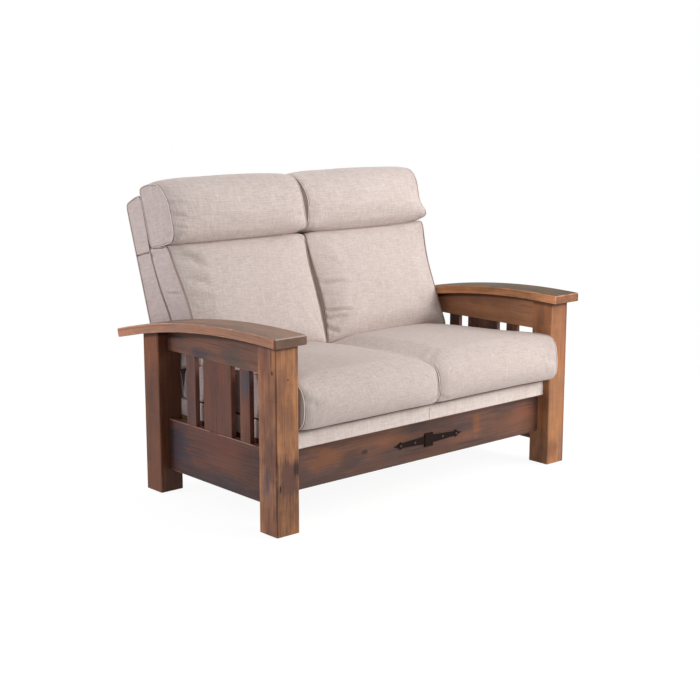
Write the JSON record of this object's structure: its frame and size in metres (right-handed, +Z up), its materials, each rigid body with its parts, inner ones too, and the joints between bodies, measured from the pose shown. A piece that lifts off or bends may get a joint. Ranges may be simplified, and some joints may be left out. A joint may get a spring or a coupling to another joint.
{
  "type": "mission settle",
  "caption": "Upholstered mission settle for sitting on, with square posts, bowed arms, slatted sides, loose seat cushions and leaning cushioned backs.",
  "frame": {"origin": "on the floor, under the centre of the settle's bounding box", "axes": "+X to the right as seen from the front, +Y from the front to the rear, +Z up"},
  "size_m": [1.405, 1.0024, 1.0652],
  "materials": {
    "barnwood": "stained and distressed oak boards, brown with grey and orange patches, satin",
    "hardwood": "plain sawn hardwood, unfinished",
    "black_iron": "black hammered iron, satin",
    "fastener_steel": "plated steel",
    "spring_steel": "tempered wire, dull",
    "upholstery": "slubbed linen weave over foam and down, pale greige, matt",
    "felt_pad": "needled felt over foam",
    "elastic_webbing": "woven elastic strap",
    "dust_cloth": "thin black non-woven cloth",
    "glide_plastic": "dark nylon"
  },
  "bodies": {
    "frame": {"arm_dowels": "hardwood", "back_bolts": "fastener_steel", "back_screws": "fastener_steel", "back_spacers": "hardwood", "centre_stretcher": "hardwood", "cleat_screws": "fastener_steel", "front_cleat": "hardwood", "front_rail": "barnwood", "left_arm": "barnwood", "left_back_boards": "hardwood", "left_back_cover": "upholstery", "left_back_cushion": "upholstery", "left_back_rails": "hardwood", "left_back_webbing": "elastic_webbing", "left_deck_cover": "upholstery", "left_deck_pad": "felt_pad", "left_dust_cloth": "dust_cloth", "left_front_post": "barnwood", "left_front_slat": "barnwood", "left_headrest": "upholstery", "left_lower_rail": "barnwood", "left_rear_post": "barnwood", "left_rear_slat": "barnwood", "left_seat_front_rail": "hardwood", "left_seat_rear_rail": "hardwood", "left_seat_side_rails": "hardwood", "left_seat_springs": "spring_steel", "left_spring_clips": "fastener_steel", "left_upper_rail": "barnwood", "left_wide_slat": "barnwood", "post_glides": "glide_plastic", "rear_cleat": "hardwood", "rear_rail": "barnwood", "right_arm": "barnwood", "right_back_boards": "hardwood", "right_back_cover": "upholstery", "right_back_cushion": "upholstery", "right_back_rails": "hardwood", "right_back_webbing": "elastic_webbing", "right_deck_cover": "upholstery", "right_deck_pad": "felt_pad", "right_dust_cloth": "dust_cloth", "right_front_post": "barnwood", "right_front_slat": "barnwood", "right_headrest": "upholstery", "right_lower_rail": "barnwood", "right_rear_post": "barnwood", "right_rear_slat": "barnwood", "right_seat_front_rail": "hardwood", "right_seat_rear_rail": "hardwood", "right_seat_side_rails": "hardwood", "right_seat_springs": "spring_steel", "right_spring_clips": "fastener_steel", "right_upper_rail": "barnwood", "right_wide_slat": "barnwood", "seat_screws": "fastener_steel", "strap_plate": "black_iron", "strap_screws": "fastener_steel"},
    "left_loose_cushion": {"left_seat_cushion": "upholstery"},
    "right_loose_cushion": {"right_seat_cushion": "upholstery"}
  },
  "joints": [
    {"name": "left_cushion_pull", "type": "slide", "parent": "frame", "child": "left_loose_cushion", "axis": [0, -1, 0], "range_m": [0, 0.65]},
    {"name": "right_cushion_pull", "type": "slide", "parent": "frame", "child": "right_loose_cushion", "axis": [0, -1, 0], "range_m": [0, 0.65]}
  ]
}
